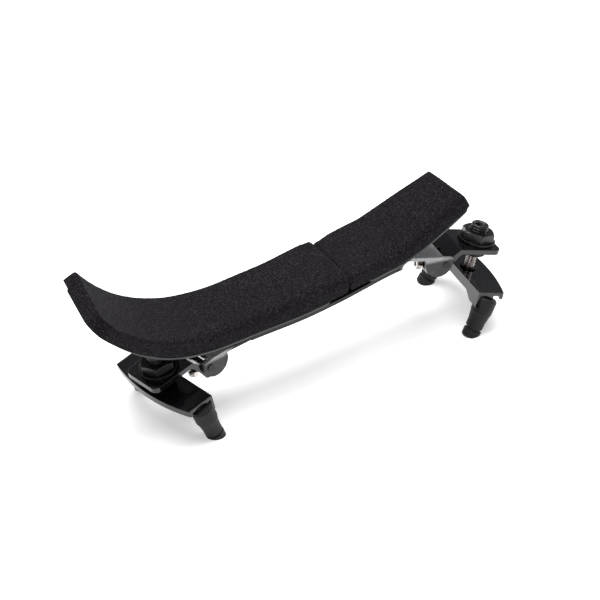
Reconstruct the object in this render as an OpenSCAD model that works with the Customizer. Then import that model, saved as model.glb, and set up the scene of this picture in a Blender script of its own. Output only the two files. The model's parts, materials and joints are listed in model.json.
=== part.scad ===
// Violin shoulder rest: a curved, foam-padded plate on two tilting brackets, each
// carrying a clamped bush, a height screw and a two-footed fork.
// Millimetres, +Z up. The rest stands on its four rubber feet on Z = 0.
// +X runs along the plate from the chest end to the shoulder end; +Y points to the
// far side. The origin is the middle of the base of the bounding box.

/* [View] */
// Sub-part to build, or "all"

/* [Plate] */
// Thickness of the curved plate
plate_t = 2; // [1.5:0.1:3]
// X of the curled-up end of the long plate
plate_x0 = -149; // [-155:0.5:-130]
// X of the inner end of the long plate
plate_gap0 = -4; // [-10:0.5:4]
// X of the inner end of the short plate
plate_gap1 = 21.5; // [14:0.5:28]
// X of the shoulder end of the short plate
plate_x1 = 91.5; // [80:0.5:100]
// Distance from the middle line to the near edge
plate_near = 20.3; // [15:0.1:24]
// Distance from the middle line to the far edge at the waist
plate_far = 16.2; // [13:0.1:22]
// Radius of the near corner at the curled-up end
plate_corner = 8; // [2:0.5:14]
// Thickness of the strap under the plates
bar_t = 2.6; // [2:0.1:4]

/* [Foam] */
// Thickness of the long pad
foam_main_t = 10.3; // [6:0.1:14]
// How much thinner the long pad is at its curled-up end
foam_thin = 1.8; // [0:0.1:4]
// Thickness of the shoulder-end pad
foam_end_t = 9; // [6:0.1:14]
// X of the seam between the two pads
seam_x = 8; // [0:0.5:20]
// How far the long pad reaches past the curled-up end of its plate
foam_over = 3; // [0:0.1:5]

/* [Ends] */
// Slope of the brackets at rest, degrees below horizontal towards the outside
slope = 14; // [5:0.5:20]
// Hinge position of the shoulder end
pin_r = [83, 3, 41.5];
// Hinge position of the chest end
pin_l = [-80.5, 0.6, 33.5];
// Turn of the shoulder-end hinge about Z
yaw_r = -12; // [-20:0.5:0]
// Turn of the chest-end hinge about Z
yaw_l = 7; // [0:0.5:20]
// Distance from hinge to fork axis at the shoulder end
reach_r = 24.5; // [19.5:0.1:25]
// Distance from hinge to fork axis at the chest end
reach_l = 21.5; // [19.5:0.1:25]
// Open length of height screw at the shoulder end
drop_r = 8; // [0.5:0.1:13]
// Open length of height screw at the chest end
drop_l = 0.5; // [0.5:0.1:13]

/* [Brackets] */
// Width of a bracket
bracket_w = 25.6; // [22:0.1:28]
// Thickness of a bracket
bracket_t = 3; // [2:0.1:4]
// Height of the bracket plate above the hinge pin
bracket_h = 7; // [5:0.1:9]
// Length of a bracket from hinge to outer edge
bracket_len = 35; // [32:0.5:38]
// Shortest reach of the bush in its slot
slot_in = 19.5; // [18:0.1:22]
// Longest reach of the bush in its slot
slot_out = 25; // [23:0.1:27]

/* [Hinge hardware] */
// Hinge pin diameter
pin_d = 3; // [2.5:0.1:4]
// Distance from hinge pin down to the adjusting screw
lever = 4.8; // [4.5:0.1:6]
// Distance from hinge pin inwards to the cross bar
bar_in = 7.5; // [6.5:0.1:9]
// Adjusting screw diameter
adj_d = 3.5; // [3:0.1:4]
// Offset of the adjusting screw towards the near side
adj_v = 5.2; // [4:0.1:6]
// Radius of the cheeks of the end strap
ear_r = 8.3; // [8:0.1:9]

/* [Bush and nut] */
// Outside diameter of the threaded bush
bush_d = 10; // [8:0.5:12]
// Height of the hexagon under the bush
bush_hex_h = 5; // [3:0.5:7]
// Hexagon under the bush, across flats
bush_hex_af = 13; // [11:0.5:14]
// Lock nut, across flats
nut_af = 17; // [15:0.5:18]
// Lock nut height
nut_h = 5; // [4:0.5:7]
// Washer diameter
washer_d = 21.6; // [18:0.2:24]
// Washer thickness
washer_t = 1.5; // [1:0.1:2]
// Height of the bush above the nut
bush_proud = 3.9; // [2:0.1:6]

/* [Forks] */
// Height screw diameter
screw_d = 5.9; // [5:0.1:6]
// Half length of a fork
fork_half = 31; // [28:0.5:34]
// Thickness of the fork sheet
fork_t = 2; // [1.5:0.1:2.5]
// Radius of the outer edge of the fork in plan
fork_arc = 109; // [80:1:150]
// Outer edge of the fork at its middle
fork_out = 12; // [10:0.5:14]
// Inner edge of the fork
fork_in = 8.5; // [7:0.5:10]
// Foot length
foot_len = 25; // [22:0.5:30]
// Inward lean of the shoulder-end feet, degrees
foot_lean_r = 13; // [0:0.5:15]
// Inward lean of the chest-end feet, degrees
foot_lean_l = 9; // [0:0.5:15]
// Foot diameter at the top
foot_d = 12.4; // [11:0.1:13]
// Foot diameter at the tip
foot_tip_d = 10.2; // [9:0.1:11]

/* [Hidden] */
$fn = 48;
shift = [16.03, 0.25, -2.8];
flat_x0 = -48;
flat_x1 = 42;
flat_z = 53.9;
flat_slope = 0.068;
flat_twist = 7.8;
fit = 0.05;
strap_t = 2;
strap_w0 = 2.9;
collar_rim = 1.2;
hole_fn = 48;
bracket_low = bracket_h - bracket_t / 2;
bracket_top = bracket_h + bracket_t / 2;
bush_low = bracket_low - bush_hex_h;

black = [0.07, 0.07, 0.08];
chrome = [0.8, 0.8, 0.82];
rubber = [0.16, 0.16, 0.17];
foam_grey = [0.12, 0.12, 0.13];

// ---- frames -------------------------------------------------------------

function pin_of(side) = side > 0 ? pin_r : pin_l;
function reach_of(side) = side > 0 ? reach_r : reach_l;
function drop_of(side) = side > 0 ? drop_r : drop_l;
function web_top(side) = bush_low - drop_of(side) - collar_rim;

// Hinge frame of one end: X outwards along the bracket, Y to the far side,
// Z square to the bracket. side is 1 for the shoulder end, -1 for the chest end.
module level_frame(side)
{
    translate(shift + pin_of(side))
        rotate([0, 0, side > 0 ? yaw_r : yaw_l])
            mirror([side > 0 ? 0 : 1, 0, 0])
                children();
}

module hinge_frame(side)
{
    level_frame(side)
        rotate([0, slope, 0])
            children();
}

// Axis of the bush, height screw and fork.
module fork_axis(side)
{
    hinge_frame(side)
        translate([reach_of(side), 0, 0])
            children();
}

module fork_frame(side)
{
    fork_axis(side)
        translate([0, 0, web_top(side)])
            children();
}

// ---- curve of the plate ---------------------------------------------------

function over(x) = max(0, x);
function mid_z(x) = flat_z + flat_slope * x
    + 8.26e-5 * pow(over(flat_x0 - x), 2.85)
    + 0.0756 * pow(over(x - flat_x1), 1.39);
function slope_at(x) = atan((mid_z(x + 0.5) - mid_z(x - 0.5)));
function twist_at(x) = flat_twist
    + 9 * pow(over(flat_x0 - x) / 100, 1.3)
    - 4.8 * over(x - flat_x1) / 49;
function ramp(t) = t <= 0 ? 0 : t >= 1 ? 1 : t * t * (3 - 2 * t);
function corner_cut(d, r) = d >= r ? 0 : r - sqrt(max(0, r * r - (r - d) * (r - d)));
function hump(d, w) = ramp(1 - abs(d) / w);
function side_y(x) = -plate_near - 1.5 * hump(x + 22, 40) + 3 * ramp((x - 2) / 42);
function near_y(x) = side_y(x) + 5.2 * ramp((-104 - x) / 44);
function far_y(x) = plate_far + (x < 2
    ? 2.4 * ramp((x + 34) / 42) + 2.4 * ramp((-50 - x) / 60)
        - 1.2 * ramp((-120 - x) / 30)
    : 4.8 * ramp((x + 10) / 62) + 1.3 * hump(x - 2, 12)
        - 4.8 * pow(over(x - 50) / 41, 2));

// The curled-up end is cut at a slight angle.
function skew(x, a) = x - 0.11 * a * ramp((-112 - x) / 36);

// Point of the plate frame at station x: a across the plate, b off its underside.
function skin(x0, a, b) =
    let (x = skew(x0, a), s = slope_at(x), w = twist_at(x))
    [x + shift[0] - sin(s) * (a * sin(w) + b * cos(w)),
     a * cos(w) - b * sin(w) + shift[1],
     mid_z(x) + cos(s) * (a * sin(w) + b * cos(w)) + shift[2]];

// Closed loft through rings of equal length.
module loft(rings)
{
    n = len(rings);
    m = len(rings[0]);
    polyhedron(
        points = [for (r = rings) for (p = r) p],
        faces = concat(
            [[for (j = [0 : m - 1]) j]],
            [for (i = [0 : n - 2]) for (j = [0 : m - 1])
                [i * m + j, (i + 1) * m + j, (i + 1) * m + (j + 1) % m]],
            [for (i = [0 : n - 2]) for (j = [0 : m - 1])
                [i * m + j, (i + 1) * m + (j + 1) % m, i * m + (j + 1) % m]],
            [[for (j = [m - 1 : -1 : 0]) (n - 1) * m + j]]),
        convexity = 6);
}

// Stations along the plate, closer together towards both ends of the span.
function stations(x0, x1, n) =
    [for (i = [0 : n]) let (t = i / n) x0 + (x1 - x0) * (0.5 * t + 0.5 * ramp(t))];

function plate_ring(x, x0, x1) =
    let (r0 = x0 < -100 ? plate_corner : 4,
         n = near_y(x) + corner_cut(x - x0, r0) + corner_cut(x1 - x, 4),
         f = far_y(x) - corner_cut(x - x0, 3) - corner_cut(x1 - x, 3))
    [skin(x, n, 0.35), skin(x, n, plate_t - 0.35), skin(x, n + 0.35, plate_t),
     skin(x, f - 0.35, plate_t), skin(x, f, plate_t - 0.35), skin(x, f, 0.35),
     skin(x, f - 0.35, 0), skin(x, n + 0.35, 0)];

function foam_ring(x, t, in) =
    let (n = side_y(x) + 0.4 + 0.8 * ramp((-112 - x) / 30),
         f = far_y(x) + 0.5 - in, b = plate_t + 0.12)
    [skin(x, n, b), skin(x, n + 0.1, b + 0.45 * t), skin(x, n + 0.8, b + 0.72 * t),
     skin(x, n + 3, b + 0.94 * t), skin(x, n + 7, b + t),
     skin(x, f - 6, b + 1.01 * t), skin(x, f - 1.4, b + t),
     skin(x, f - 0.2, b + 0.88 * t), skin(x, f, b)];

// ---- plate and pads -------------------------------------------------------

module plate_long()
{
    color(black)
        loft([for (x = stations(plate_x0, plate_gap0, 40))
            plate_ring(x, plate_x0, plate_gap0)]);
}

module plate_short()
{
    color(black)
        loft([for (x = stations(plate_gap1, plate_x1, 26))
            plate_ring(x, plate_gap1, plate_x1)]);
}

module foam_main()
{
    color(foam_grey)
        loft([for (x = stations(plate_x0 - foam_over, seam_x, 44))
            foam_ring(x, foam_main_t - foam_thin * ramp((-100 - x) / 54), 0)]);
}

module foam_end()
{
    color(foam_grey)
        loft([for (x = stations(seam_x + 0.25, plate_x1 + 0.4, 26))
            foam_ring(x, foam_end_t, 1.3 * hump(x - 8, 14))]);
}

// ---- strap -----------------------------------------------------------------

// Frame on the underside of the flat middle of the plate, X along it.
module plate_frame(x)
{
    translate([x + shift[0], shift[1], mid_z(x) + shift[2]])
        rotate([0, -atan(flat_slope), 0])
            rotate([flat_twist, 0, 0])
                children();
}

module stud_places(side)
{
    x = side > 0 ? 36 : -36;
    plate_frame(x)
        for (p = [[-6, -7], [-6, 7], [6, 0]])
            translate([side * p[0], p[1], 0])
                children();
}

// Inner ends of the bends, where the flat middle of the strap stops.
function bend_x(side) = side > 0 ? 46 : -56;
function tongue_len(side) = side > 0 ? 27 : 12;
function tongue_near(side) = side > 0 ? -17.6 : -16.5;
function tongue_far(side) = side > 0 ? 14 : 15.2;

module tongue_edge(side)
{
    near = tongue_near(side);
    hinge_frame(side)
        translate([0.3 - tongue_len(side), near + 0.4, strap_w0 + 0.2])
            cube([0.8, tongue_far(side) - near - 0.8, strap_t - 0.4]);
}

module bend_edge(side)
{
    near = near_y(bend_x(side)) + 0.5;
    plate_frame(bend_x(side))
        translate([side > 0 ? -1.2 : 0.4, near + 0.4, -bar_t + 0.2])
            cube([0.8, 13.6 - near, bar_t - 0.4]);
}

// Flat middle of the strap, its near edge just inside that of the plates.
module strap_middle()
{
    x0 = bend_x(-1);
    x1 = bend_x(1);
    plate_frame(0)
        translate([0, 0, -bar_t])
            linear_extrude(bar_t - 0.12)
                polygon(concat(
                    [for (i = [0 : 14]) let (x = x0 + (x1 - x0) * i / 14)
                        [x / cos(3.9), near_y(x) + 0.5]],
                    [[x1 / cos(3.9), 14], [x0 / cos(3.9), 14]]));
}

module strap()
{
    color(black)
        difference()
        {
            union()
            {
                strap_middle();
                for (side = [-1, 1])
                    strap_end(side);
            }
            for (side = [-1, 1])
            {
                hinge_frame(side)
                {
                    rotate([90, 0, 0])
                        cylinder(d = pin_d, h = 60, center = true, $fn = hole_fn);
                    translate([-bar_in, 0, -lever])
                        rotate([90, 0, 0])
                            cylinder(d = 2.6, h = 60, center = true, $fn = hole_fn);
                }
                stud_places(side)
                    cylinder(d = 3, h = 12, center = true, $fn = hole_fn);
            }
        }
}

module strap_end(side)
{
    x = -tongue_len(side);
    hinge_frame(side)
    {
        translate([0, 0, strap_w0])
            linear_extrude(strap_t)
                polygon([[x, tongue_near(side)], [-2.5, -15.2], [-2.5, 15.2],
                    [x, tongue_far(side)]]);
        for (v = [-1, 1])
            ear(v);
    }
    hull()
    {
        tongue_edge(side);
        bend_edge(side);
    }
}

// Half-round cheek bent down from the edge of the tongue.
module ear(v)
{
    intersection()
    {
        translate([-4.2, v * 14.2, 0.6])
            rotate([90, 0, 0])
                cylinder(r = ear_r, h = 2, center = true, $fn = 96);
        translate([-20, v * 14.2 - 2, -20])
            cube([40, 4, 20 + strap_w0 + strap_t - 0.3]);
    }
}

module weld_studs(side)
{
    color(black)
        stud_places(side)
        {
            translate([0, 0, -bar_t])
                cylinder(d = 3, h = bar_t - 0.2, $fn = hole_fn);
            translate([0, 0, -bar_t - 1.1])
                cylinder(d1 = 3.6, d2 = 5.6, h = 1.1, $fn = hole_fn);
        }
}

module weld_studs_left() { weld_studs(-1); }
module weld_studs_right() { weld_studs(1); }

module hinge_pin(side)
{
    color(black)
        hinge_frame(side)
            rotate([90, 0, 0])
            {
                cylinder(d = pin_d, h = 30.4, center = true, $fn = hole_fn);
                for (v = [-1, 1])
                    translate([0, 0, v * 15.55])
                        cylinder(d = pin_d + 1, h = 0.7, center = true, $fn = hole_fn);
            }
}

module hinge_pin_left() { hinge_pin(-1); }
module hinge_pin_right() { hinge_pin(1); }

// Bar across the cheeks that holds the adjusting screw endways.
module cross_bar(side)
{
    color(black)
        hinge_frame(side)
            translate([-bar_in, 0, -lever])
                difference()
                {
                    rotate([90, 0, 0])
                    {
                        cylinder(d = 5, h = 26.2, center = true, $fn = hole_fn);
                        cylinder(d = 2.6, h = 30.4, center = true, $fn = hole_fn);
                    }
                    translate([0, -adj_v, 0])
                        rotate([0, 90, 0])
                            cylinder(d = adj_d + 2 * fit, h = 12, center = true,
                                $fn = hole_fn);
                }
}

module cross_bar_left() { cross_bar(-1); }
module cross_bar_right() { cross_bar(1); }

// ---- tilt adjuster -----------------------------------------------------------

module adjuster(side)
{
    color(chrome)
        hinge_frame(side)
            translate([0, -adj_v, -lever])
                rotate([0, 90, 0])
                    difference()
                    {
                        union()
                        {
                            translate([0, 0, -11.5])
                                cylinder(d = adj_d, h = 18.9, $fn = hole_fn);
                            translate([0, 0, 7.4])
                                cylinder(d1 = adj_d, d2 = adj_d - 1, h = 0.6,
                                    $fn = hole_fn);
                            translate([0, 0, -13.6])
                                cylinder(d = 6, h = 3.5, $fn = hole_fn);
                            translate([0, 0, -4.95])
                                cylinder(d = 5.2, h = 0.8, $fn = hole_fn);
                        }
                        translate([0, 0, -13.7])
                            cylinder(d = 2.9, h = 2, $fn = 6);
                    }
}

module adjuster_left() { adjuster(-1); }
module adjuster_right() { adjuster(1); }

// Hexagon locked on the screw's end: it stops the barrel nut from running off.
module stop_nut(side)
{
    color(chrome)
        hinge_frame(side)
            translate([4.4, -adj_v, -lever])
                rotate([0, 90, 0])
                    difference()
                    {
                        cylinder(d = 5.5 / cos(30), h = 2.2, $fn = 6);
                        translate([0, 0, -1])
                            cylinder(d = adj_d, h = 5, $fn = hole_fn);
                    }
}

module stop_nut_left() { stop_nut(-1); }
module stop_nut_right() { stop_nut(1); }

function cheek_v() = [[-bracket_w / 2, 2.2], [0.4, 2.2], [bracket_w / 2 - 2.2, 2.2]];

module barrel_nut(side)
{
    long = bracket_w / 2 - 2.2 + 0.4 - 0.2;
    color(chrome)
        hinge_frame(side)
            translate([0, 0.4 - 0.1 - long / 2, -lever])
                difference()
                {
                    rotate([90, 0, 0])
                    {
                        cylinder(d = 5.6, h = long, center = true, $fn = hole_fn);
                        cylinder(d = 3, h = long + 4.4, center = true, $fn = hole_fn);
                    }
                    translate([0, -adj_v - 0.3 + long / 2, 0])
                        rotate([0, 90, 0])
                            cylinder(d = adj_d + 0.5, h = 12, center = true,
                                $fn = hole_fn);
                }
}

module barrel_nut_left() { barrel_nut(-1); }
module barrel_nut_right() { barrel_nut(1); }

// ---- bracket -----------------------------------------------------------------

module rounded_plate(x0, x1, w, r)
{
    for (v = [-1, 1])
        translate([x1 - r, v * (w / 2 - r)])
            circle(r = r, $fn = 64);
    translate([x0, -w / 2])
        square([x1 - r - x0, w]);
    translate([x0, -w / 2 + r])
        square([x1 - x0, w - 2 * r]);
}

module bracket(side)
{
    color(black)
        hinge_frame(side)
            difference()
            {
                union()
                {
                    difference()
                    {
                        translate([0, 0, bracket_low])
                            linear_extrude(bracket_t)
                                rounded_plate(9.4, bracket_len, bracket_w, 4);
                        slot_cut();
                    }
                    rotate([90, 0, 0])
                        linear_extrude(bracket_w, center = true)
                            polygon([[9.4, bracket_top], [8.2, bracket_top - 0.5],
                                [2.6, 2.3], [2.0, 0.8], [4.8, 0.2], [10.2, bracket_low]]);
                    for (c = cheek_v())
                        translate([0, c[0] + c[1], 0])
                            rotate([90, 0, 0])
                                linear_extrude(c[1])
                                    cheek();
                }
                rotate([90, 0, 0])
                    cylinder(d = pin_d + 2 * fit, h = 60, center = true, $fn = hole_fn);
                translate([0, -bracket_w / 4 - 0.2, -lever])
                    rotate([90, 0, 0])
                        cylinder(d = 3 + 2 * fit, h = bracket_w / 2 + 7, center = true,
                            $fn = hole_fn);
                translate([0, -adj_v, -lever])
                    rotate([0, 90, 0])
                        cylinder(d = 6.6, h = 30, center = true, $fn = hole_fn);
                clear_middle();
            }
}

// Room between the cheeks for the barrel nut.
module clear_middle()
{
    translate([0, -bracket_w / 2 + 2.2, -lever])
        rotate([-90, 0, 0])
            cylinder(d = 6.2, h = bracket_w / 2 - 2.2 + 0.4, $fn = hole_fn);
}

module cheek()
{
    circle(r = 2.75, $fn = 64);
    translate([0.3, -lever])
        circle(r = 3.1, $fn = 64);
    polygon([[-2.4, -1], [-2.4, -lever], [3.4, -lever], [9.6, bracket_low + 0.2],
        [4, 3.4], [0.4, 2.6]]);
}

module slot_cut()
{
    translate([slot_in, 0, 0])
        cylinder(d = bush_d + 2 * fit, h = 20, $fn = 96);
    translate([slot_out, 0, 0])
        cylinder(d = bush_d + 2 * fit, h = 20, $fn = 96);
    translate([slot_in, -bush_d / 2 - fit, 0])
        cube([slot_out - slot_in, bush_d + 2 * fit, 20]);
}

module bracket_left() { bracket(-1); }
module bracket_right() { bracket(1); }

// ---- bush, washer and lock nut --------------------------------------------------

module bush(side)
{
    top = bracket_top + washer_t + nut_h + bush_proud;
    color(black)
        fork_axis(side)
            difference()
            {
                union()
                {
                    translate([0, 0, bush_low])
                        cylinder(d = bush_d, h = top - bush_low - 0.5, $fn = 96);
                    translate([0, 0, top - 0.5])
                        cylinder(d1 = bush_d, d2 = bush_d - 1, h = 0.5, $fn = 96);
                    intersection()
                    {
                        translate([0, 0, bush_low])
                            rotate([0, 0, 30])
                                cylinder(d = bush_hex_af / cos(30),
                                    h = bush_hex_h - 0.03, $fn = 6);
                        translate([0, 0, bush_low])
                            cylinder(d1 = bush_hex_af - 0.4, d2 = bush_hex_af + 9.6,
                                h = bush_hex_h, $fn = 96);
                    }
                }
                translate([0, 0, bush_low - 1])
                    cylinder(d = screw_d + 2 * fit, h = 40, $fn = 96);
                translate([0, 0, top - 1])
                    cylinder(d1 = screw_d, d2 = screw_d + 2.4, h = 1.2, $fn = 96);
            }
}

module bush_left() { bush(-1); }
module bush_right() { bush(1); }

module washer(side)
{
    color(black)
        fork_axis(side)
            translate([0, 0, bracket_top])
                difference()
                {
                    cylinder(d = washer_d, h = washer_t, $fn = 96);
                    translate([0, 0, -1])
                        cylinder(d = bush_d + 2 * fit, h = 5, $fn = 96);
                }
}

module washer_left() { washer(-1); }
module washer_right() { washer(1); }

module lock_nut(side)
{
    color(black)
        fork_axis(side)
            translate([0, 0, bracket_top + washer_t])
                rotate([0, 0, side > 0 ? 17 : 12])
                    difference()
                    {
                        intersection()
                        {
                            cylinder(d = nut_af / cos(30), h = nut_h, $fn = 6);
                            cylinder(d1 = nut_af + 18, d2 = nut_af - 0.6, h = nut_h,
                                $fn = 96);
                            cylinder(d1 = nut_af - 0.6, d2 = nut_af + 18, h = nut_h,
                                $fn = 96);
                        }
                        translate([0, 0, -1])
                            cylinder(d = bush_d + 2 * fit, h = 10, $fn = 96);
                    }
}

module lock_nut_left() { lock_nut(-1); }
module lock_nut_right() { lock_nut(1); }

// ---- collar and height screw ------------------------------------------------------

module collar(side)
{
    color(black)
        fork_frame(side)
            difference()
            {
                union()
                {
                    cylinder(d = 9.6, h = collar_rim, $fn = 96);
                    translate([0, 0, -fork_t])
                        cylinder(d = 8.4, h = fork_t, $fn = 96);
                }
                cylinder(d = screw_d + 2 * fit, h = 20, center = true, $fn = 96);
            }
}

module collar_left() { collar(-1); }
module collar_right() { collar(1); }

module height_screw(side)
{
    reach = bracket_top + washer_t + nut_h + bush_proud - 2.5 - drop_of(side) + 0.5;
    color(chrome)
        fork_axis(side)
            difference()
            {
                union()
                {
                    translate([0, 0, web_top(side) - fork_t - 0.1])
                        cylinder(d = screw_d, h = reach - web_top(side) + fork_t + 0.1,
                            $fn = 96);
                    translate([0, 0, web_top(side) - fork_t - 1.8])
                        cylinder(d1 = 8, d2 = 10.4, h = 1.7, $fn = 96);
                }
                translate([0, 0, reach - 3.5])
                    cylinder(d = 3 / cos(30), h = 5, $fn = 6);
            }
}

module height_screw_left() { height_screw(-1); }
module height_screw_right() { height_screw(1); }

// ---- fork and feet ------------------------------------------------------------------

module fork_outline(inset)
{
    intersection()
    {
        translate([fork_out - fork_arc, 0])
            circle(r = fork_arc - inset, $fn = 240);
        translate([-fork_in + inset, -fork_half + inset])
            square([40, 2 * (fork_half - inset)]);
    }
}

module fork(side)
{
    color(black)
        fork_frame(side)
            difference()
            {
                union()
                {
                    translate([0, 0, -fork_t])
                        linear_extrude(fork_t)
                            fork_outline(0);
                    // outer flange, following the arc
                    translate([0, 0, -4])
                        linear_extrude(3)
                            difference()
                            {
                                fork_outline(0);
                                translate([fork_out - fork_arc, 0])
                                    circle(r = fork_arc - 1.8, $fn = 240);
                            }
                    // inner flange, deeper towards both ends
                    translate([-fork_in, 0, 0])
                        rotate([90, 0, 90])
                            linear_extrude(1.8)
                                polygon([[-fork_half, -0.5], [-fork_half, -9.5],
                                    [-23, -9], [-17, -5.4], [17, -5.4], [23, -9],
                                    [fork_half, -9.5], [fork_half, -0.5]]);
                    // tabs that carry the feet
                    for (v = [-1, 1])
                        tab(v);
                }
                cylinder(d = 8.4 + 2 * fit, h = 20, center = true, $fn = 96);
            }
}

module tab(v)
{
    translate([-5.4, v * (fork_half - 1) - 1, -12])
        cube([6.9, 2, 11]);
}

module fork_left() { fork(-1); }
module fork_right() { fork(1); }

// Rubber foot on a tab, trimmed flat where it stands on the floor.
module foot(side, v)
{
    color(rubber)
        difference()
        {
            fork_frame(side)
                difference()
                {
                    translate([-1, v * (fork_half - 2.2), -4.2])
                        rotate([v * 4.5, side > 0 ? foot_lean_r : foot_lean_l, 0])
                            rotate([180, 0, 0])
                                foot_body();
                    tab(v);
                    translate([-20, -40, -2.2])
                        cube([60, 80, 20]);
                    translate([-fork_in - 6, -40, -9.5])
                        cube([6 + 1.8, 80, 12]);
                }
            translate([-300, -100, -100])
                cube([600, 200, 100]);
        }
}

module foot_body()
{
    r = foot_d / 2;
    t = foot_tip_d / 2;
    rotate_extrude($fn = 72)
        polygon([[0, 0], [r - 0.8, 0], [r, 1], [r, 8.5], [r - 0.5, 10.2], [t, 14.5],
            [t - 0.1, 18.4], [t - 0.9, 18.9], [t - 0.9, 19.7], [t, 20.2], [t, foot_len - 1],
            [t - 1, foot_len], [0, foot_len]]);
}

module foot_left_near() { foot(-1, -1); }
module foot_left_far() { foot(-1, 1); }
module foot_right_near() { foot(1, -1); }
module foot_right_far() { foot(1, 1); }

// ---- assembly ---------------------------------------------------------------------------

plate_long();
plate_short();
foam_main();
foam_end();
strap();
weld_studs_left();
weld_studs_right();
hinge_pin_left();
hinge_pin_right();
cross_bar_left();
cross_bar_right();
bracket_left();
bracket_right();
adjuster_left();
adjuster_right();
stop_nut_left();
stop_nut_right();
barrel_nut_left();
barrel_nut_right();
bush_left();
bush_right();
washer_left();
washer_right();
lock_nut_left();
lock_nut_right();
collar_left();
collar_right();
height_screw_left();
height_screw_right();
fork_left();
fork_right();
foot_left_near();
foot_left_far();
foot_right_near();
foot_right_far();
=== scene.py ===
"""Looks of the violin shoulder rest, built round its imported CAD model."""
import json
import math

import bmesh
import bpy
import numpy as np
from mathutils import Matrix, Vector, noise


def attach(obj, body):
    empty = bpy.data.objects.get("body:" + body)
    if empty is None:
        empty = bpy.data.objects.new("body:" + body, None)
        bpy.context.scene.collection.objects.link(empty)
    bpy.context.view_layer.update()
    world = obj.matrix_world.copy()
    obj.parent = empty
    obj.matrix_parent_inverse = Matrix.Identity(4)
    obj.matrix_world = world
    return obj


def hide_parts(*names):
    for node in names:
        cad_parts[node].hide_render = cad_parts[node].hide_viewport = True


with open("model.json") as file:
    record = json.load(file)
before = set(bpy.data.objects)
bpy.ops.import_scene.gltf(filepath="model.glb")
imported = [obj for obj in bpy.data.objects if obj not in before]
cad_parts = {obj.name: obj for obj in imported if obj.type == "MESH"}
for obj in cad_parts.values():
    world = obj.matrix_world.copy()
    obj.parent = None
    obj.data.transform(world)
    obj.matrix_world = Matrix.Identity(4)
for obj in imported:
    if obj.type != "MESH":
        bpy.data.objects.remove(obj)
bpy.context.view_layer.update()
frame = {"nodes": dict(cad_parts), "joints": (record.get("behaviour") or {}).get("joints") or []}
JOINTS = {j["name"]: j for j in frame["joints"]}
SIDES = ("left", "right")
MM = 0.001
PER_METRE = 1000


# ---- materials ----------------------------------------------------------------

class Nodes:
    """Short form for building a node tree."""

    def __init__(self, name):
        self.mat = bpy.data.materials.new(name)
        self.mat.use_nodes = True
        self.tree = self.mat.node_tree
        self.tree.nodes.clear()
        self.out = self.tree.nodes.new("ShaderNodeOutputMaterial")
        self.bsdf = self.tree.nodes.new("ShaderNodeBsdfPrincipled")
        self.link(self.bsdf.outputs[0], self.out.inputs["Surface"])

    def link(self, a, b):
        self.tree.links.new(a, b)

    def set(self, **values):
        for key, value in values.items():
            self.bsdf.inputs[key.replace("_", " ")].default_value = value

    def coords(self, scale=(1, 1, 1)):
        tex = self.tree.nodes.new("ShaderNodeTexCoord")
        mapping = self.tree.nodes.new("ShaderNodeMapping")
        mapping.inputs["Scale"].default_value = scale
        self.link(tex.outputs["Object"], mapping.inputs["Vector"])
        return mapping.outputs[0]

    def noise(self, vector, scale, detail, rough):
        n = self.tree.nodes.new("ShaderNodeTexNoise")
        n.inputs["Scale"].default_value = scale
        n.inputs["Detail"].default_value = detail
        n.inputs["Roughness"].default_value = rough
        self.link(vector, n.inputs["Vector"])
        return n.outputs["Fac"]

    def cells(self, vector, scale):
        n = self.tree.nodes.new("ShaderNodeTexVoronoi")
        n.inputs["Scale"].default_value = scale
        self.link(vector, n.inputs["Vector"])
        return n.outputs["Distance"]

    def ramp(self, fac, stops):
        n = self.tree.nodes.new("ShaderNodeValToRGB")
        els = n.color_ramp.elements
        while len(els) < len(stops):
            els.new(0.5)
        for e, (pos, col) in zip(els, stops):
            e.position = pos
            e.color = col if hasattr(col, "__len__") else (col, col, col, 1)
        self.link(fac, n.inputs["Fac"])
        return n.outputs["Color"]

    def math(self, op, a, b):
        n = self.tree.nodes.new("ShaderNodeMath")
        n.operation = op
        for i, v in enumerate((a, b)):
            if isinstance(v, (int, float)):
                n.inputs[i].default_value = v
            else:
                self.link(v, n.inputs[i])
        return n.outputs[0]

    def mix(self, fac, a, b):
        n = self.tree.nodes.new("ShaderNodeMix")
        n.data_type = "RGBA"
        for socket, v in ((n.inputs[0], fac), (n.inputs[6], a), (n.inputs[7], b)):
            if isinstance(v, (int, float)) or hasattr(v, "__len__"):
                socket.default_value = v
            else:
                self.link(v, socket)
        return n.outputs[2]

    def bump(self, height, strength, distance):
        n = self.tree.nodes.new("ShaderNodeBump")
        n.inputs["Strength"].default_value = strength
        n.inputs["Distance"].default_value = distance
        self.link(height, n.inputs["Height"])
        return n.outputs[0]

    def edges(self, radius=0.0004):
        """Rises from 0 on faces towards edges, where the normal turns within a small radius."""
        bevel = self.tree.nodes.new("ShaderNodeBevel")
        bevel.samples = 4
        bevel.inputs["Radius"].default_value = radius
        geo = self.tree.nodes.new("ShaderNodeNewGeometry")
        dot = self.tree.nodes.new("ShaderNodeVectorMath")
        dot.operation = "DOT_PRODUCT"
        self.link(bevel.outputs[0], dot.inputs[0])
        self.link(geo.outputs["Normal"], dot.inputs[1])
        turned_away = self.math("SUBTRACT", 1.0, dot.outputs["Value"])
        return self.math("MULTIPLY", turned_away, 3.0)


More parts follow.
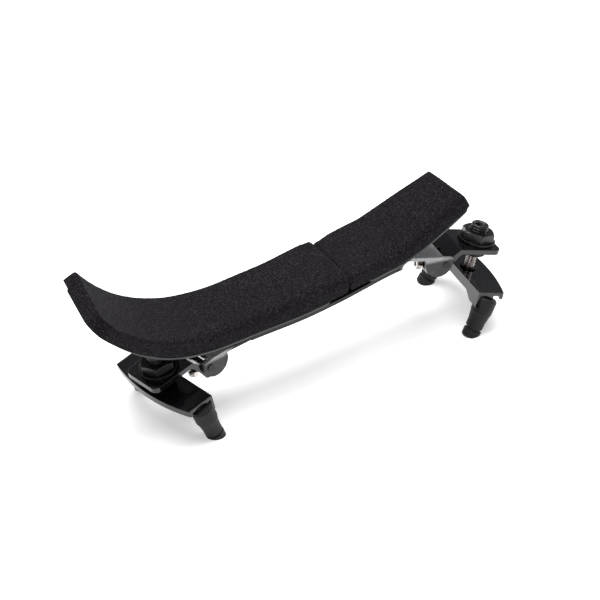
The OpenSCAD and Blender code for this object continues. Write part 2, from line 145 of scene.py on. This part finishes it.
def foam_material():
    """Charcoal open-cell foam: dark pores, grit, cloudy patches and a few light specks."""
    m = Nodes("foam_charcoal")
    p = m.coords()
    pores = m.cells(p, 1150)
    fine = m.noise(p, 1900, 3, 0.7)
    patch = m.noise(p, 42, 3, 0.55)
    speck = m.cells(p, 620)
    grit = m.noise(p, 1080, 2, 0.8)
    mottle = m.math("ADD", m.math("MULTIPLY", pores, 0.35), m.math("MULTIPLY", fine, 0.3))
    mottle = m.math("ADD", mottle, m.math("MULTIPLY", m.math("SUBTRACT", grit, 0.5), 1.5))
    mottle = m.math("ADD", mottle, 0.2)
    col = m.ramp(mottle, [(0.30, (0.0016, 0.0013, 0.0016, 1)),
                          (0.52, (0.0062, 0.0051, 0.0064, 1)),
                          (0.78, (0.0340, 0.0296, 0.0350, 1))])
    col = m.mix(m.ramp(patch, [(0.35, 0.0), (0.7, 0.45)]), col, (0.0095, 0.0078, 0.0098, 1))
    bright = m.ramp(speck, [(0.05, 1.0), (0.16, 0.0)])
    col = m.mix(m.math("MULTIPLY", bright, 0.8), col, (0.085, 0.078, 0.090, 1))
    m.link(col, m.bsdf.inputs["Base Color"])
    m.set(Roughness=0.9, Specular_IOR_Level=0.10, Sheen_Weight=0.03, Sheen_Roughness=0.45)
    height = m.math("ADD", m.math("MULTIPLY", pores, 0.8), m.math("MULTIPLY", fine, 0.7))
    m.link(m.bump(height, 0.9, 0.0005), m.bsdf.inputs["Normal"])
    return m.mat


def paint_material(name, base, rough, grain, coat, peel, edge_highlight, spec=0.28):
    """Black paint on steel: orange peel, handling marks, and edges painted slightly lighter as a
    painted highlight.
    """
    m = Nodes(name)
    p = m.coords()
    haze = m.noise(p, 95, 5, 0.65)
    breakup_noise = m.noise(p, 900, 3, 0.7)
    col = m.mix(m.ramp(haze, [(0.35, 0.0), (0.75, 1.0)]), (*base, 1),
                (base[0] * 1.9, base[1] * 1.9, base[2] * 1.95, 1))
    # painted highlight: the edges are lightened towards pale grey, broken up by noise
    edge_highlight_mask = m.math("MULTIPLY", m.edges(), m.ramp(breakup_noise, [(0.3, 0.35), (0.7, 1.0)]))
    col = m.mix(m.math("MULTIPLY", edge_highlight_mask, edge_highlight), col, (0.34, 0.34, 0.35, 1))
    m.link(col, m.bsdf.inputs["Base Color"])
    rough_out = m.ramp(haze, [(0.3, rough * 0.82), (0.8, min(1.0, rough * 1.3))])
    m.link(rough_out, m.bsdf.inputs["Roughness"])
    m.set(Specular_IOR_Level=spec, Coat_Weight=coat, Coat_Roughness=0.08)
    height = m.math("ADD", m.noise(p, grain, 2, 0.5), m.math("MULTIPLY", breakup_noise, 0.35))
    m.link(m.bump(height, 0.25, peel), m.bsdf.inputs["Normal"])
    return m.mat


def strap_material():
    """Satin steel with painted light: light grey on the tongues at both ends as a painted
    highlight, and near black between and below them as painted shade.
    """
    middle_x, tongue_z, right_rise = 0.006, 0.0333, 0.008
    m = Nodes("strap_satin_steel_painted_light")
    p = m.coords()
    haze = m.noise(p, 80, 4, 0.6)
    grain = m.noise(p, 1500, 3, 0.75)
    flake = m.cells(p, 1250)
    # light grey of the tongues: a painted highlight, with grain and flakes in it
    col = m.ramp(grain, [(0.34, (0.25, 0.25, 0.254, 1)), (0.55, (0.47, 0.47, 0.475, 1)),
                         (0.75, (0.68, 0.68, 0.69, 1))])
    col = m.mix(m.ramp(haze, [(0.35, 0.0), (0.7, 0.5)]), col, (0.40, 0.40, 0.404, 1))
    col = m.mix(m.ramp(flake, [(0.08, 0.55), (0.2, 0.0)]), col, (0.62, 0.62, 0.64, 1))
    split = m.tree.nodes.new("ShaderNodeSeparateXYZ")
    m.link(p, split.inputs[0])
    # mask of the tongue tops at both ends, which get the painted highlight; the rest gets painted
    # shade
    away = m.math("ABSOLUTE", m.math("SUBTRACT", split.outputs["X"], middle_x), 0.0)
    away = m.math("ADD", away, m.math("MULTIPLY", m.math("SUBTRACT", haze, 0.5), 0.004))
    ends = m.ramp(m.math("MULTIPLY", away, 10.0), [(0.54, 0.0), (0.60, 1.0)])
    side = m.math("GREATER_THAN", split.outputs["X"], middle_x)
    side = m.math("MULTIPLY", side, right_rise)
    lift = m.math("SUBTRACT", split.outputs["Z"], m.math("ADD", side, tongue_z))
    above = m.ramp(m.math("MULTIPLY", lift, 250.0), [(0.0, 0.12), (0.5, 1.0)])
    ends = m.math("MULTIPLY", ends, above)
    # painted shade, near black, in the strap's middle and below the tongues; painted highlight on
    # the tongue tops
    col = m.mix(ends, m.mix(haze, (0.006, 0.006, 0.0065, 1), (0.022, 0.020, 0.021, 1)), col)
    m.link(col, m.bsdf.inputs["Base Color"])
    m.link(m.ramp(grain, [(0.3, 0.38), (0.75, 0.56)]), m.bsdf.inputs["Roughness"])
    m.set(Metallic=0.0, Specular_IOR_Level=0.22)
    height = m.math("ADD", grain, m.math("MULTIPLY", flake, 0.6))
    m.link(m.bump(height, 0.35, 0.00012), m.bsdf.inputs["Normal"])
    return m.mat


def chrome_material(name, base, rough, stretch):
    """Plated steel with fine turning marks and a little grime."""
    m = Nodes(name)
    p = m.coords()
    streak = m.noise(m.coords(stretch), 700, 4, 0.7)
    grime = m.noise(p, 260, 5, 0.6)
    col = m.mix(m.ramp(grime, [(0.45, 0.0), (0.8, 1.0)]), (*base, 1), (0.30, 0.26, 0.23, 1))
    m.link(col, m.bsdf.inputs["Base Color"])
    m.link(m.ramp(streak, [(0.3, rough * 0.7), (0.75, rough * 1.9)]), m.bsdf.inputs["Roughness"])
    m.set(Metallic=1.0)
    m.link(m.bump(streak, 0.12, 0.00006), m.bsdf.inputs["Normal"])
    return m.mat


def rubber_material():
    """Dull black rubber with a faint bloom and slightly lighter edges."""
    m = Nodes("rubber_black")
    p = m.coords()
    grain = m.noise(p, 1500, 3, 0.6)
    bloom = m.noise(p, 120, 5, 0.6)
    col = m.mix(m.ramp(bloom, [(0.35, 0.0), (0.75, 1.0)]), (0.006, 0.006, 0.0065, 1),
                (0.017, 0.017, 0.018, 1))
    col = m.mix(m.math("MULTIPLY", m.edges(0.0006), 0.35), col, (0.085, 0.085, 0.09, 1))
    m.link(col, m.bsdf.inputs["Base Color"])
    m.link(m.ramp(bloom, [(0.3, 0.50), (0.8, 0.68)]), m.bsdf.inputs["Roughness"])
    m.set(Specular_IOR_Level=0.22, Sheen_Weight=0.03, Sheen_Roughness=0.5)
    m.link(m.bump(grain, 0.3, 0.00015), m.bsdf.inputs["Normal"])
    return m.mat


MATS = {
    "foam": foam_material(),
    # in the paints below, the keyword after peel sets the strength of the painted edge highlight
    "plate": paint_material("plate_satin_black", (0.007, 0.007, 0.008), 0.22, 520, 0.10,
                            0.00006, edge_highlight=0.9, spec=0.45),
    "strap": strap_material(),
    "paint": paint_material("gloss_black_paint", (0.003, 0.003, 0.0035), 0.14, 380, 0.15,
                            0.00004, edge_highlight=0.5, spec=0.5),
    "oxide": paint_material("black_oxide_steel", (0.004, 0.004, 0.0045), 0.30, 1200, 0.1,
                            0.00004, edge_highlight=0.6),
    "chrome": chrome_material("bright_chrome", (0.78, 0.77, 0.78), 0.13, (1, 1, 1)),
    "thread": chrome_material("plated_thread", (0.66, 0.62, 0.60), 0.20, (1, 1, 6)),
    "rubber": rubber_material(),
}


def dress(obj, key):
    obj.data.materials.clear()
    obj.data.materials.append(MATS[key])


# ---- carried CAD nodes -----------------------------------------------------------

def soften(obj, width):
    """Rounds a CAD node's edges with modifiers, and leaves its mesh alone."""
    weld = obj.modifiers.new("weld", "WELD")
    weld.merge_threshold = 2e-6
    flat = obj.modifiers.new("flat", "DECIMATE")
    flat.decimate_type = "DISSOLVE"
    flat.angle_limit = math.radians(0.4)
    bevel = obj.modifiers.new("edge", "BEVEL")
    bevel.width = width
    bevel.segments = 2
    bevel.limit_method = "ANGLE"
    bevel.angle_limit = math.radians(38)
    bevel.harden_normals = False
    bevel.use_clamp_overlap = True
    normals = obj.modifiers.new("shade", "WEIGHTED_NORMAL")
    normals.keep_sharp = False


# node name start: (material, edge width in metres)
CAD_LOOK = {
    "strap": ("strap", 0.00022), "weld_studs": ("oxide", 0.00012),
    "hinge_pin": ("oxide", 0.00010), "cross_bar": ("paint", 0.00012),
    "bracket": ("paint", 0.00022), "stop_nut": ("thread", 0.00012),
    "barrel_nut": ("thread", 0.00012), "washer": ("oxide", 0.00018), "collar": ("oxide", 0.00015),
    "fork": ("paint", 0.00030), "foot": ("rubber", 0.00025),
}
for node, obj in frame["nodes"].items():
    for key, (look, width) in CAD_LOOK.items():
        if node.startswith(key):
            dress(obj, look)
            soften(obj, width)


# ---- mesh helpers -------------------------------------------------------------------

def mesh_object(name, verts, faces, key, body, smooth_angle):
    mesh = bpy.data.meshes.new(name)
    mesh.from_pydata([tuple(v) for v in verts], [], faces)
    bm = bmesh.new()
    bm.from_mesh(mesh)
    bmesh.ops.recalc_face_normals(bm, faces=bm.faces)
    bm.to_mesh(mesh)
    bm.free()
    mesh.polygons.foreach_set("use_smooth", [True] * len(mesh.polygons))
    if smooth_angle < 180:
        mesh.set_sharp_from_angle(angle=math.radians(smooth_angle))
    mesh.update()
    obj = bpy.data.objects.new(name, mesh)
    bpy.context.scene.collection.objects.link(obj)
    dress(obj, key)
    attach(obj, body)
    return obj


class End:
    """Hinge frame of one end, read from the record's joints; local units are millimetres."""

    def __init__(self, side):
        self.o = Vector(JOINTS["tilt_" + side]["pos_m"])
        self.u = Vector(JOINTS["width_" + side]["axis"]).normalized()
        self.w = Vector(JOINTS["height_" + side]["axis"]).normalized()
        self.v = self.w.cross(self.u)
        self.hand = 1
        if self.v.y < 0:
            self.v = -self.v
            self.hand = -1
        turn = Vector(JOINTS["height_screw_turn_" + side]["pos_m"])
        self.reach = (turn - self.o).dot(self.u) * PER_METRE

    def at(self, u, v, w):
        return self.o + (self.u * u + self.v * v + self.w * w) * MM

    def span(self, node):
        """Lowest and highest w of a node, in millimetres."""
        data = frame["nodes"][node].data.vertices
        ws = [(x.co - self.o).dot(self.w) * PER_METRE for x in data]
        return min(ws), max(ws)


ENDS = {s: End(s) for s in SIDES}


def hexagon(af, turn=0.0):
    """Radius function of a hexagon af across its flats."""
    def radius(theta, _w):
        t = (theta - math.radians(turn)) % (math.pi / 3) - math.pi / 6
        return af / 2 / math.cos(t)
    return radius


def cone(fn, *limits):
    """Radius function fn cut by cones, each (w0, r0, slope)."""
    def radius(theta, w):
        r = fn(theta, w)
        for w0, r0, slope in limits:
            r = min(r, r0 + slope * (w - w0))
        return r
    return radius


def threaded(major, pitch, depth, w0, w1, hand):
    """Radius of a screw thread that runs out at both ends."""
    def radius(theta, w):
        t = (w / pitch - hand * theta / (2 * math.pi)) % 1.0
        y = min(1.0, max(0.0, ((1 - abs(2 * t - 1)) - 0.12) / 0.7))
        fade = min(1.0, max(0.0, (w - w0) / pitch)) * min(1.0, max(0.0, (w1 - w) / pitch))
        return major / 2 - depth * (1 - y) * fade
    return radius


def plain(r):
    return lambda theta, w: r


def outline(*points):
    """Rows of a plain turned outline, from (w, radius) pairs."""
    return [(w, plain(r)) for w, r in points]


def turned(name, rows, place, key, body, seg, hollow, angle):
    """A lathe-like piece: rows are (w, radius function), from the foot of its outline on."""
    verts = []
    for w, fn in rows:
        for i in range(seg):
            theta = 2 * math.pi * i / seg
            r = fn(theta, w)
            verts.append(place(r * math.cos(theta), r * math.sin(theta), w))
    faces = []
    n = len(rows)
    for k in range(n if hollow else n - 1):
        a, b = k * seg, ((k + 1) % n) * seg
        for i in range(seg):
            j = (i + 1) % seg
            faces.append((a + i, a + j, b + j, b + i))
    if not hollow:
        faces.append(tuple(range(seg - 1, -1, -1)))
        faces.append(tuple(range((n - 1) * seg, n * seg)))
    return mesh_object(name, verts, faces, key, body, angle)


def steps(w0, w1, d):
    """Even stations from w0 to w1, about d apart."""
    n = max(1, int(round(abs(w1 - w0) / d)))
    return [w0 + (w1 - w0) * i / n for i in range(n + 1)]


# ---- turned parts ---------------------------------------------------------------------

# major diameter, pitch and depth of each thread; the pitches agree with the couplings
BUSH_THREAD = (10.0, 1.5, 0.75)
BORE_THREAD = (6.92, 1.0, 0.45)
HEIGHT_THREAD = (5.9, 1.0, 0.48)
ADJUSTER_THREAD = (3.5, 0.6, 0.30)
STEP = 0.125
FINE_STEP = 0.075
BUSH_HEX_H = 4.97


def build_end(side):
    e = ENDS[side]

    def on_axis(x, y, w):
        return e.at(e.reach + x, y, w)

    # threaded bush: hexagon below, thread above, tapped bore
    lo, hi = e.span("bush_" + side)
    hexa = cone(hexagon(13.0), (lo, 6.35, 1.2), (lo + BUSH_HEX_H, 6.9, -1.4))
    outer = threaded(*BUSH_THREAD, lo + 5.6, hi - 0.35, e.hand)
    bore = threaded(*BORE_THREAD, lo, hi + 2, e.hand)
    rows = [(lo, plain(3.5)), (lo, cone(hexa, (lo, 6.3, 0)))]
    rows += [(lo + h, hexa) for h in (0.25, 0.55, 0.9, 1.5, 3.0, 4.2, 4.6, BUSH_HEX_H)]
    rows += [(lo + BUSH_HEX_H, plain(5.0))]
    rows += [(w, outer) for w in steps(lo + 5.1, hi - 0.45, STEP)]
    rows += outline((hi - 0.22, 4.75), (hi - 0.06, 4.6), (hi, 4.42), (hi, 4.05),
                    (hi - 0.1, 3.85), (hi - 0.55, 3.45))
    rows += [(w, bore) for w in steps(hi - 0.7, hi - 7.0, STEP)]
    rows += outline((hi - 7.2, 3.05), (lo + 0.4, 3.05), (lo + 0.1, 3.25))
    bush = turned("bush_threaded_" + side, rows, on_axis, "oxide", "bush_" + side,
                  72, True, 40)
    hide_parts("bush_" + side)

    # lock nut with turned corners and a countersunk thread mouth
    lo, hi = e.span("lock_nut_" + side)
    turn = 17 if side == "right" else 12
    nut_fn = cone(hexagon(17.0, turn), (lo, 8.55, 1.9), (hi, 8.45, -1.9))
    rows = outline((lo + 0.1, 5.15), (lo, 5.6), (lo, 8.0), (lo + 0.02, 8.25))
    rows += [(lo + h, nut_fn) for h in (0.1, 0.25, 0.45, 0.7, 1.2, 2.5, 3.8, 4.3, 4.55, 4.75, 4.9)]
    rows += outline((hi - 0.02, 8.2), (hi, 7.95), (hi, 5.75), (hi - 0.25, 5.35), (hi - 0.5, 5.15))
    nut = turned("lock_nut_faced_" + side, rows, on_axis, "oxide", "lock_nut_" + side,
                 96, True, 22)
    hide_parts("lock_nut_" + side)

    # height screw: peened head, thread, hexagon socket in its top
    lo, hi = e.span("height_screw_" + side)
    thread = threaded(*HEIGHT_THREAD, lo + 3.9, hi - 0.2, e.hand)
    sock = hexagon(3.0, 30)
    rows = outline((lo, 0.6), (lo, 3.6), (lo + 0.12, 3.95), (lo + 1.45, 5.05),
                   (lo + 1.6, 5.15), (lo + 1.72, 5.0), (lo + 1.74, 2.95), (lo + 3.6, 2.95))
    rows += [(w, thread) for w in steps(lo + 3.7, hi - 0.4, STEP)]
    rows += outline((hi - 0.3, 2.75), (hi, 2.45))
    rows += [(hi, cone(sock, (hi, 1.95, 0))), (hi - 0.15, sock), (hi - 3.3, sock)]
    rows += outline((hi - 3.45, 1.2), (hi - 3.8, 0.2))
    screw = turned("height_screw_threaded_" + side, rows, on_axis, "thread",
                   "height_screw_" + side, 48, False, 40)
    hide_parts("height_screw_" + side)

    # tilt adjuster: knurled socket head, collar ring and thread, lying along u
    axis = Vector(JOINTS["adjuster_turn_" + side]["pos_m"])
    off_v = (axis - e.o).dot(e.v) * PER_METRE
    off_w = (axis - e.o).dot(e.w) * PER_METRE

    def along(x, y, u):
        return e.at(u, off_v + x, off_w + y)

    def knurl(theta, _w):
        return 2.98 - 0.09 * (0.5 + 0.5 * math.cos(24 * theta))

    start, stop = -3.6, 7.6
    thread = threaded(*ADJUSTER_THREAD, start, stop, -e.hand)
    sock = hexagon(2.5)
    rows = outline((-11.9, 0.2), (-11.7, 1.0))
    rows += [(-11.6, sock), (-13.45, sock), (-13.6, cone(sock, (0, 1.7, 0)))]
    rows += outline((-13.6, 2.55), (-13.5, 2.8), (-13.25, 2.98))
    rows += [(u, knurl) for u in steps(-13.1, -10.6, 0.5)]
    rows += outline((-10.4, 2.98), (-10.18, 2.85), (-10.1, 2.6), (-10.1, 1.75), (-4.95, 1.75),
                    (-4.95, 2.4), (-4.85, 2.58), (-4.25, 2.58), (-4.15, 2.4), (-4.15, 1.75),
                    (-3.7, 1.75))
    rows += [(u, thread) for u in steps(start, stop, FINE_STEP)]
    rows += outline((7.75, 1.5), (8.0, 1.25), (8.0, 0.2))
    adj = turned("adjuster_threaded_" + side, rows, along, "thread", "adjuster_" + side,
                 48, False, 40)
    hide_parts("adjuster_" + side)


for side in SIDES:
    build_end(side)


# ---- plate and pads ------------------------------------------------------------------

# Design millimetres: SHIFT moves them into the frame, found from a joint known in both.
SHIFT = np.array(JOINTS["tilt_right"]["pos_m"]) * PER_METRE - np.array([83.0, 3.0, 41.5])
X0, GAP0, GAP1, X1, SEAM = -149.0, -4.0, 21.5, 91.5, 8.0
PLATE_T = 2
FOAM_BASE = 2.02
FOAM_STEP = 0.62


def over(x):
    return np.maximum(0.0, x)


def mid_z(x):
    """Height of the underside's middle line."""
    return 53.9 + 0.068 * x + 8.26e-5 * over(-48 - x) ** 2.85 + 0.0756 * over(x - 42) ** 1.39


def ease(t):
    t = np.clip(t, 0, 1)
    return t * t * (3 - 2 * t)


def hump(d, w):
    """1 at d = 0, easing to 0 at a distance w."""
    return ease(1 - abs(d) / w)


def corner_cut(d, r):
    """How far a corner of radius r draws the edge in, at d from the end."""
    d = np.clip(d, 0, r)
    return r - np.sqrt(np.maximum(0, r * r - (r - d) ** 2))


def side_y(x):
    return -20.3 - 1.5 * hump(x + 22, 40) + 3 * ease((x - 2) / 42)


def near_y(x):
    return side_y(x) + 5.2 * ease((-104 - x) / 44)


def far_y(x):
    main = 2.4 * ease((x + 34) / 42) + 2.4 * ease((-50 - x) / 60) - 1.2 * ease((-120 - x) / 30)
    end = 4.8 * ease((x + 10) / 62) + 1.3 * hump(x - 2, 12) - 4.8 * (over(x - 50) / 41) ** 2
    return 16.2 + np.where(x < 2, main, end)


def thick_long(x):
    return 10.3 - 1.8 * ease((-100 - x) / 54)


def thick_end(x):
    return 9.0 + 0 * x


def skin(x, a, b):
    """Frame points, in metres, of plate stations x, a across and b above the underside."""
    x = x - 0.11 * a * ease((-112 - x) / 36)
    s = np.arctan(mid_z(x + 0.5) - mid_z(x - 0.5))
    w = np.radians(7.8 + 9 * (over(-48 - x) / 100) ** 1.3 - 4.8 * over(x - 42) / 49)
    n = a * np.sin(w) + b * np.cos(w)
    return np.stack([x - np.sin(s) * n + SHIFT[0], a * np.cos(w) - b * np.sin(w) + SHIFT[1],
                     mid_z(x) + np.cos(s) * n + SHIFT[2]], -1) * MM


def smooth_path(points, step):
    """Closely spaced points on a Catmull-Rom curve through points; a doubled point is a corner."""
    pts = np.array(points, float)
    out = []
    for i in range(len(pts) - 1):
        p1, p2 = pts[i], pts[i + 1]
        length = np.linalg.norm(p2 - p1)
        if length < 1e-6:
            continue
        p0 = pts[i - 1] if i > 0 else p1
        p3 = pts[i + 2] if i + 2 < len(pts) else p2
        m1 = (p2 - p0) / 2 if i > 0 and np.linalg.norm(p1 - p0) > 1e-6 else (p2 - p1)
        last = i + 2 >= len(pts)
        m2 = (p2 - p1) if last or np.linalg.norm(p3 - p2) <= 1e-6 else (p3 - p1) / 2
        m1 = m1 * min(1, length / max(1e-9, np.linalg.norm(m1)))
        m2 = m2 * min(1, length / max(1e-9, np.linalg.norm(m2)))
        count = max(1, int(round(length / step)))
        for k in range(count):
            t = k / count
            t2, t3 = t * t, t * t * t
            out.append((2 * t3 - 3 * t2 + 1) * p1 + (t3 - 2 * t2 + t) * m1
                       + (-2 * t3 + 3 * t2) * p2 + (t3 - t2) * m2)
    out.append(pts[-1])
    return np.array(out)


def plate_outline():
    """(edge, across mm, height mm) round a strip with rounded edges, the same at each station."""
    pts = []
    r = 0.75
    for k in range(7):
        t = math.radians(-90 - 90 * k / 6)
        pts.append(("n", r + r * math.cos(t), r + r * math.sin(t)))
    for k in range(1, 7):
        t = math.radians(180 - 90 * k / 6)
        pts.append(("n", r + r * math.cos(t), PLATE_T - r + r * math.sin(t)))
    for k in range(7):
        t = math.radians(90 - 90 * k / 6)
        pts.append(("f", -r + r * math.cos(t), PLATE_T - r + r * math.sin(t)))
    for k in range(1, 7):
        t = math.radians(-90 * k / 6)
        pts.append(("f", -r + r * math.cos(t), r + r * math.sin(t)))
    return pts


def build_plate(name, x0, x1, r0, replaced):
    """One painted plate with a rolled edge and rounded corners."""
    r1, far_r = 4, 3

    def fan(r):
        return r * (1 - np.cos(np.linspace(0, math.pi / 2, 18)))

    middle = np.linspace(x0 + r0, x1 - r1, int(x1 - x0))
    xs = np.unique(np.concatenate([x0 + fan(r0), middle, x1 - fan(r1)]))
    ring = plate_outline()
    m = len(ring)
    verts = []
    for x in xs:
        n = near_y(x) + corner_cut(x - x0, r0) + corner_cut(x1 - x, r1)
        f = far_y(x) - corner_cut(x - x0, far_r) - corner_cut(x1 - x, far_r)
        a = np.array([(n if e == "n" else f) + d for e, d, _ in ring])
        b = np.array([h for _, _, h in ring])
        verts.extend(skin(np.full(m, x), a, b))
    faces = []
    for i in range(len(xs) - 1):
        for j in range(m):
            k = (j + 1) % m
            faces.append((i * m + j, (i + 1) * m + j, (i + 1) * m + k, i * m + k))
    faces.append(tuple(range(m)))
    faces.append(tuple(range(len(xs) * m - 1, (len(xs) - 1) * m - 1, -1)))
    plate = mesh_object(name, verts, faces, "plate", "base", 38)
    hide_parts(replaced)


def foam_section(x, t, crisp, inset):
    """A pad's section at station x, as (across, height): its near, middle and far points.

    t is the thickness, and crisp goes from a soft near corner at 0 to a cut one at 1.
    """
    n = side_y(x) + 0.4 + 0.8 * ease((-112 - x) / 30) + corner_cut(x - X0 + 3, 8) * 0.8
    f, b = far_y(x) + 0.5 - inset, FOAM_BASE
    soft = [(0, 0), (0.0, 0.22), (0.12, 0.45), (0.85, 0.72), (2.9, 0.91), (6.0, 0.985), (9.5, 1.0)]
    cut = [(0, 0), (0.0, 0.30), (0.05, 0.62), (0.2, 0.93), (0.9, 0.995), (3.5, 1.0), (9.5, 1.0)]
    near = [(n + (1 - crisp) * p[0] + crisp * q[0], b + t * ((1 - crisp) * p[1] + crisp * q[1]))
            for p, q in zip(soft, cut)]
    far = [(f - 7, b + 1.01 * t), (f - 3.0, b + 1.005 * t), (f - 1.2, b + 0.97 * t),
           (f - 0.35, b + 0.86 * t), (f - 0.08, b + 0.5 * t), (f, b)]
    mid = [((n + f) / 2, b + 1.02 * t)]
    return near, mid, far


def resample(points, count):
    """count points evenly spaced along a path."""
    d = np.concatenate([[0], np.cumsum(np.linalg.norm(np.diff(points, axis=0), axis=1))])
    s = np.linspace(0, d[-1], count)
    return np.stack([np.interp(s, d, points[:, k]) for k in range(2)], -1)


def cap(ring, x, thick):
    """Rings drawn in from an end section towards its middle line."""
    mid_b = FOAM_BASE + thick * 0.5
    lo_a, hi_a = ring[:, 0].min(), ring[:, 0].max()
    rows = []
    for s in np.linspace(0, 1, 9)[1:]:
        a = np.clip(ring[:, 0], lo_a + s * thick * 0.48, hi_a - s * thick * 0.48)
        b = mid_b + (ring[:, 1] - mid_b) * (1 - s * 0.97)
        rows.append((np.stack([a, b], -1), x))
    return rows


def round_over(ring, cut, thick):
    """Draws a section in by cut, most at its outer sides, to round a pad's end."""
    mid_a, mid_b = ring[:, 0].mean(), FOAM_BASE + thick * 0.5
    half = (ring[:, 0].max() - ring[:, 0].min()) / 2
    side = ring[:, 0] - mid_a
    across = np.sign(side) * np.minimum(cut, abs(side)) * (abs(side) / half) ** 4
    up = np.clip((ring[:, 1] - mid_b) / (thick * 0.5), -1, 1) * cut
    return ring - np.stack([across, up], -1)


def build_pad(name, xa, xb, thick_fn, crisp_fn, inset_fn, seed, replaced, rounds=(0.6, 2.2)):
    """A foam pad as a dense closed loft with cut ends, roughened like open-cell foam."""
    count = int(round(62 / FOAM_STEP))
    under = int(round(36 / (FOAM_STEP * 2.2)))
    ra, rb = rounds
    body_x = np.linspace(xa + ra, xb - rb, int(round((xb - xa) / FOAM_STEP)))
    k = np.linspace(0, 1, 5)[:-1]
    xs = np.concatenate([xa + ra * (1 - np.cos(k * math.pi / 2)), body_x,
                         (xb - rb * (1 - np.cos(k * math.pi / 2)))[::-1]])
    inset = np.concatenate([ra * (1 - np.sin(k * math.pi / 2)), np.zeros(len(body_x)),
                            (rb * (1 - np.sin(k * math.pi / 2)))[::-1]])
    rings = []
    for x, cut in zip(xs, inset):
        thick = float(thick_fn(x))
        near, mid, far = foam_section(x, thick, float(crisp_fn(x)), float(inset_fn(x)))
        top = resample(smooth_path(near + mid + far, 0.25), count)
        foot = np.stack([np.linspace(top[-1, 0], top[0, 0], under + 2)[1:-1],
                         np.full(under, top[0, 1])], -1)
        ring = np.concatenate([top, foot])
        if cut > 0:
            ring = round_over(ring, cut, thick)
        rings.append(ring)
    first = cap(rings[0], xs[0], float(thick_fn(xs[0])))[::-1]
    last = cap(rings[-1], xs[-1], float(thick_fn(xs[-1])))
    stations = first + list(zip(rings, xs)) + last
    m = len(rings[0])
    verts = np.concatenate([skin(np.full(m, x), r[:, 0], r[:, 1]) for r, x in stations])
    faces = []
    for i in range(len(stations) - 1):
        for j in range(m):
            q = (j + 1) % m
            faces.append((i * m + j, (i + 1) * m + j, (i + 1) * m + q, i * m + q))
    faces.append(tuple(range(m)))
    faces.append(tuple(range(len(stations) * m - 1, (len(stations) - 1) * m - 1, -1)))
    pad = mesh_object(name, verts, faces, "foam", "base", 180)
    mesh = pad.data
    normals = np.zeros(len(mesh.vertices) * 3, np.float32)
    mesh.vertices.foreach_get("normal", normals)
    normals = normals.reshape(-1, 3).astype(float)
    offset = Vector((seed, seed * 0.7, seed * 1.3))
    amp = np.zeros(len(verts))
    for i, p in enumerate(verts):
        v = Vector(p) * PER_METRE
        fine = noise.noise(v * 0.95 + offset) * 0.11 + noise.noise(v * 2.1 + offset) * 0.09
        wave = noise.noise(v * 0.055 + offset) * 0.28
        amp[i] = fine + wave
    underside = np.tile(np.arange(m) >= count, len(stations))
    amp[underside] = 0
    moved = verts + normals * amp[:, None] * MM
    mesh.vertices.foreach_set("co", moved.astype(np.float32).ravel())
    mesh.update()
    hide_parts(replaced)


build_plate("plate_shell_long", X0, GAP0, 8, "plate_long")
build_plate("plate_shell_short", GAP1, X1, 4, "plate_short")
build_pad("foam_pad_long", X0 - 3, SEAM, thick_long, lambda x: 1 - ease((x + 118) / 62),
          lambda x: 0, 3.1, "foam_main")
build_pad("foam_pad_end", SEAM + 0.25, X1 + 0.4, thick_end, lambda x: 0.25 * ease((x - 70) / 20),
          lambda x: 1.3 * hump(x - 8, 14), 11.7, "foam_end", rounds=(2.2, 0.6))


# ---- floor, light, camera -------------------------------------------------------------

def build_floor():
    size = 3.0
    mesh = bpy.data.meshes.new("floor")
    corners = [(-size, -size, 0), (size, -size, 0), (size, size, 0), (-size, size, 0)]
    mesh.from_pydata(corners, [], [(0, 1, 2, 3)])
    floor = bpy.data.objects.new("floor", mesh)
    bpy.context.scene.collection.objects.link(floor)
    m = Nodes("floor_paper")
    p = m.coords()
    grain = m.noise(p, 60, 4, 0.6)
    col = m.ramp(grain, [(0.2, (0.90, 0.90, 0.90, 1)), (0.8, (0.93, 0.93, 0.93, 1))])
    m.link(col, m.bsdf.inputs["Base Color"])
    m.set(Roughness=0.9, Specular_IOR_Level=0.1,
          Emission_Color=(1, 1, 1, 1), Emission_Strength=0.42)
    floor.data.materials.append(m.mat)


def panel(name, where, aim, size, power):
    light = bpy.data.lights.new(name, "AREA")
    light.shape = "RECTANGLE"
    light.size, light.size_y = size
    light.energy = power
    obj = bpy.data.objects.new(name, light)
    bpy.context.scene.collection.objects.link(obj)
    obj.location = where
    obj.rotation_mode = "QUATERNION"
    obj.rotation_quaternion = (Vector(where) - Vector(aim)).to_track_quat("Z", "Y")


def build_stage():
    build_floor()
    world = bpy.data.worlds.new("studio")
    bpy.context.scene.world = world
    world.use_nodes = True
    back = world.node_tree.nodes["Background"]
    back.inputs["Color"].default_value = (0.93, 0.95, 1.0, 1)
    back.inputs["Strength"].default_value = 0.16
    aim = (0, 0, 0.04)
    panel("softbox_top", (0.0, 0.25, 1.5), aim, (1.7, 1.5), 42)
    panel("softbox_right", (1.5, 0.1, 0.75), aim, (0.5, 0.9), 4)
    panel("softbox_front_left", (-1.1, -0.9, 0.8), aim, (0.5, 0.9), 3)


def build_camera():
    cam = bpy.data.cameras.new("camera")
    obj = bpy.data.objects.new("camera", cam)
    bpy.context.scene.collection.objects.link(obj)
    az, el, distance = math.radians(-34.5), math.radians(32), 1.5
    back = Vector((math.sin(az) * math.cos(el), -math.cos(az) * math.cos(el), math.sin(el)))
    target = Vector((SHIFT[0] + 2.15, SHIFT[1] + 19.25, SHIFT[2] + 30.0)) * MM
    obj.location = target + back * distance
    obj.rotation_mode = "QUATERNION"
    obj.rotation_quaternion = back.to_track_quat("Z", "Y")
    cam.sensor_width = 36
    cam.lens = 162
    cam.clip_start, cam.clip_end = 0.05, 20
    bpy.context.scene.camera = obj


build_stage()
build_camera()
bpy.context.scene.view_settings.view_transform = "Standard"
bpy.context.scene.view_settings.look = "None"
